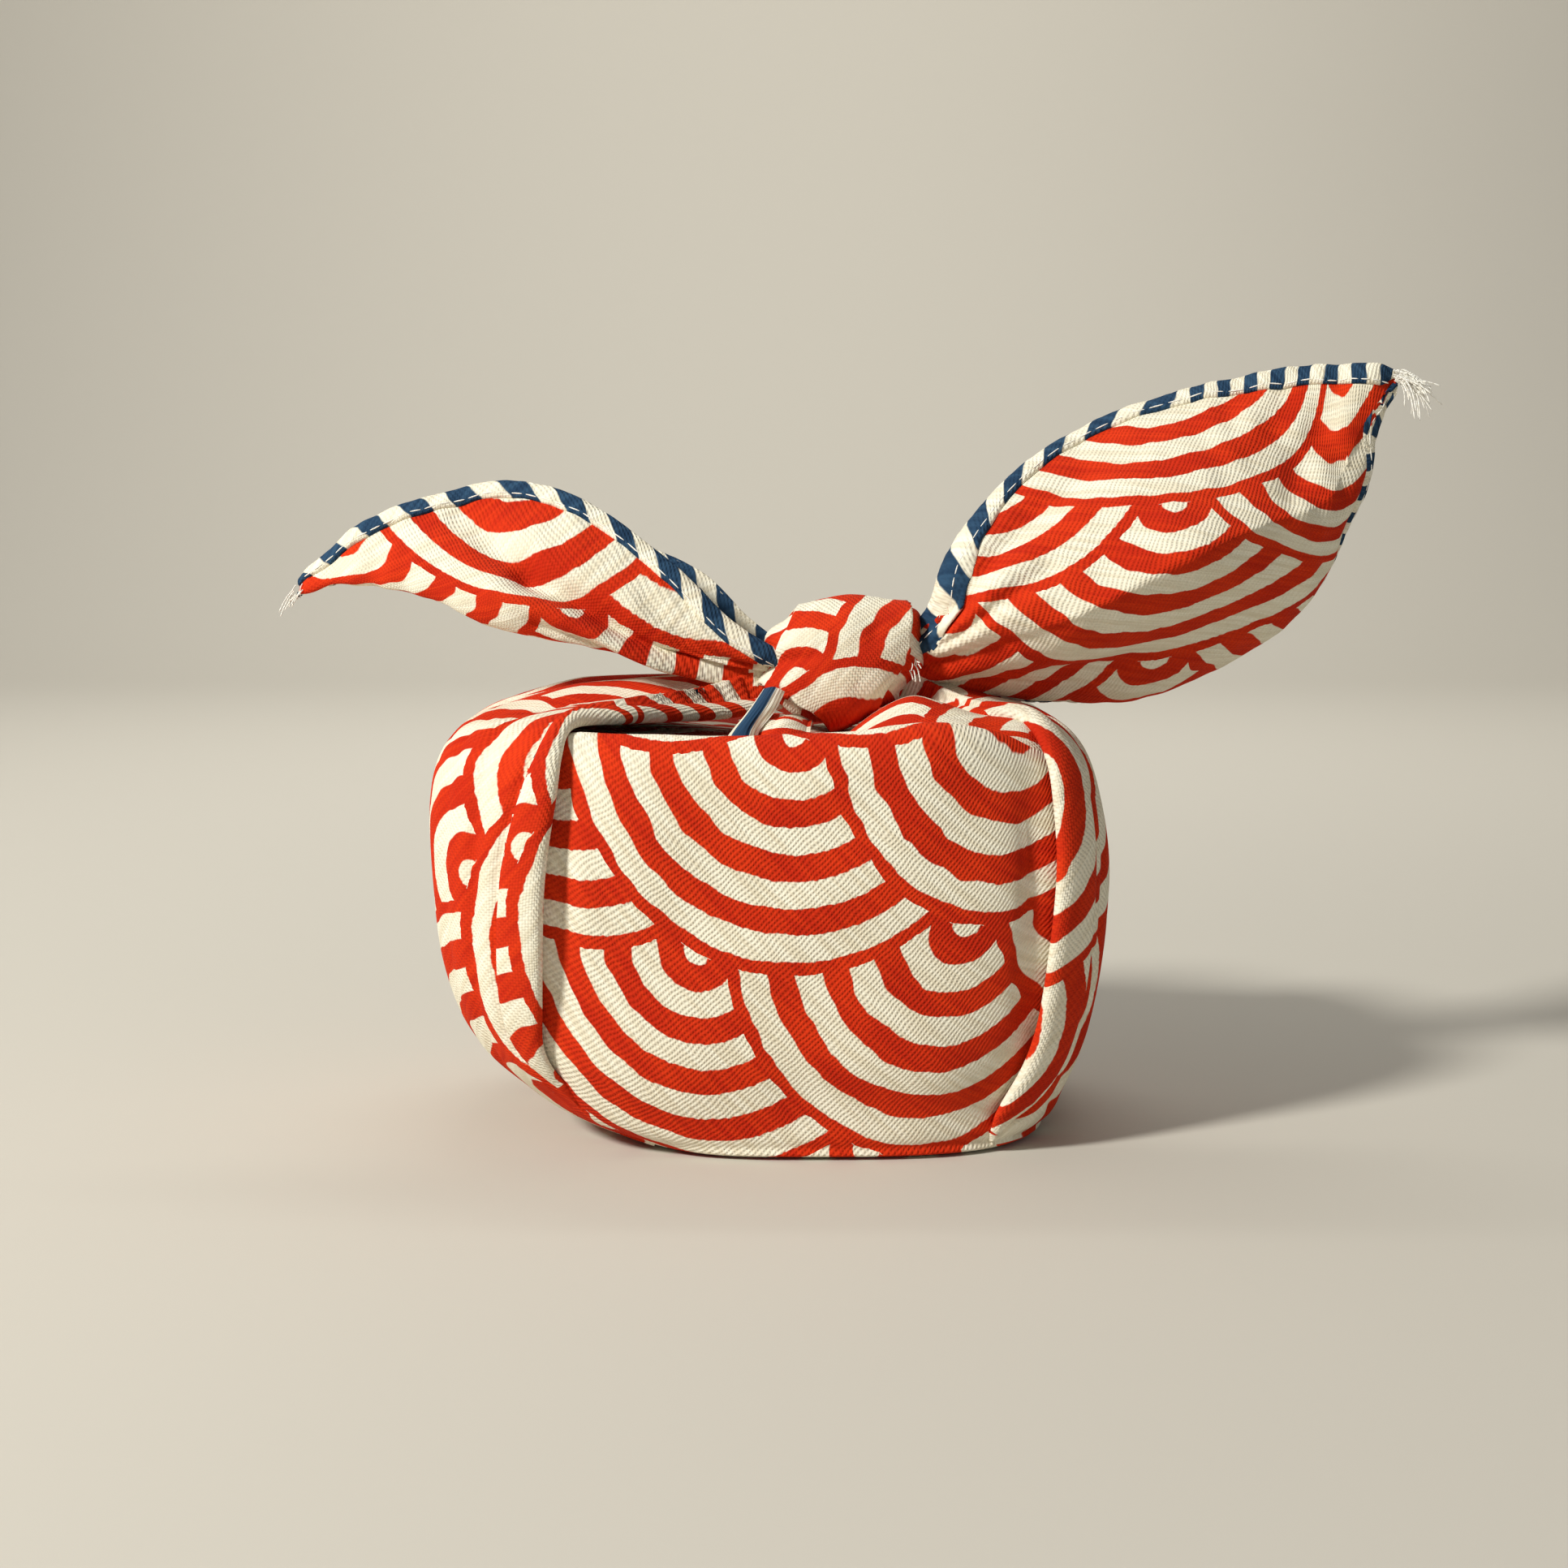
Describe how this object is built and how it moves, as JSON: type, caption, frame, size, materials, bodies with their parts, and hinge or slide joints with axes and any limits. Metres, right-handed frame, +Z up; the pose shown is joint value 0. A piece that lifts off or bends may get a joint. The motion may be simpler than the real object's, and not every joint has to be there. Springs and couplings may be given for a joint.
{
  "type": "furoshiki wrap, tied round a box",
  "caption": "Square cotton cloth wrapped round a box and tied on top, with a knot and two corners that stand out like ears.",
  "frame": {"origin": "middle of the flat base, on the surface that the wrap stands on", "axes": "+Z up, -Y towards the viewer of the front panel, +X towards the taller ear"},
  "size_m": [0.2147, 0.0886, 0.1479],
  "materials": {
    "printed_cotton": "matt plain weave, printed on both faces"
  },
  "bodies": {
    "root": {"wrap_cloth": "printed_cotton"}
  },
  "joints": []
}
